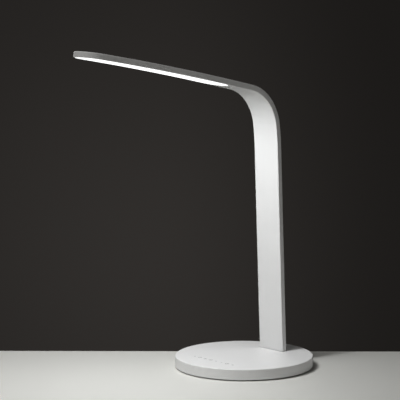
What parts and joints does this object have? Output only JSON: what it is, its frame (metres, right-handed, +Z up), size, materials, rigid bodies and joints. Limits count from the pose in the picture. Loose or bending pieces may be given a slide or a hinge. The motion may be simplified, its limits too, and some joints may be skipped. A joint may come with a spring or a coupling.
{
  "type": "desk lamp",
  "caption": "Slim white desk lamp: a flat strip of an arm rises from a thin round base, bends forward and carries a long light strip; the base charges a phone.",
  "frame": {"origin": "middle of the round base's resting face, at the table's surface", "axes": "+Z up, -Y the way the head points (the front), X across the arm, +X on the right of someone who sits in front of the lamp"},
  "size_m": [0.18, 0.3586, 0.4163],
  "materials": {
    "white_plastic": "fine satin, white",
    "black_steel": "powder-coated, black",
    "grey_rubber": "dull",
    "raw_steel": "as rolled",
    "screw_steel": "zinc-plated",
    "natural_plastic": "plain, off-white",
    "ferrite": "dull, dark grey",
    "copper": "enamelled wire",
    "circuit_board": "solder mask, green",
    "white_board": "solder mask, white",
    "black_plastic": "plain, black",
    "bronze": "plain",
    "led": "phosphor yellow",
    "opal_plastic": "opal, lets light through"
  },
  "bodies": {
    "base": {"base_cover": "white_plastic", "base_plate": "black_steel", "foot_pad": "grey_rubber", "counterweight": "raw_steel", "weight_screws": "screw_steel", "plate_screws": "screw_steel", "coil_holder": "natural_plastic", "coil_ferrite": "ferrite", "charging_coil": "copper", "charger_board": "circuit_board", "board_screws": "screw_steel", "touch_board": "circuit_board", "power_inlet": "black_plastic", "hinge_bracket": "screw_steel", "bracket_screws": "screw_steel", "hinge_pin": "screw_steel", "disc_springs": "screw_steel", "pin_nut": "screw_steel", "friction_washers": "bronze"},
    "arm": {"arm_hub": "raw_steel", "arm_shell": "white_plastic", "arm_cover": "white_plastic", "hub_nuts": "screw_steel", "arm_cable": "black_plastic", "led_board": "white_board", "led_chips": "led", "reflector_frame": "natural_plastic", "light_strip": "opal_plastic"}
  },
  "joints": [
    {"name": "arm_tilt", "type": "hinge", "parent": "base", "child": "arm", "pos_m": [0, 0.05337, 0.00795], "axis": [1, 0, 0], "range_deg": [-8, 8]}
  ]
}
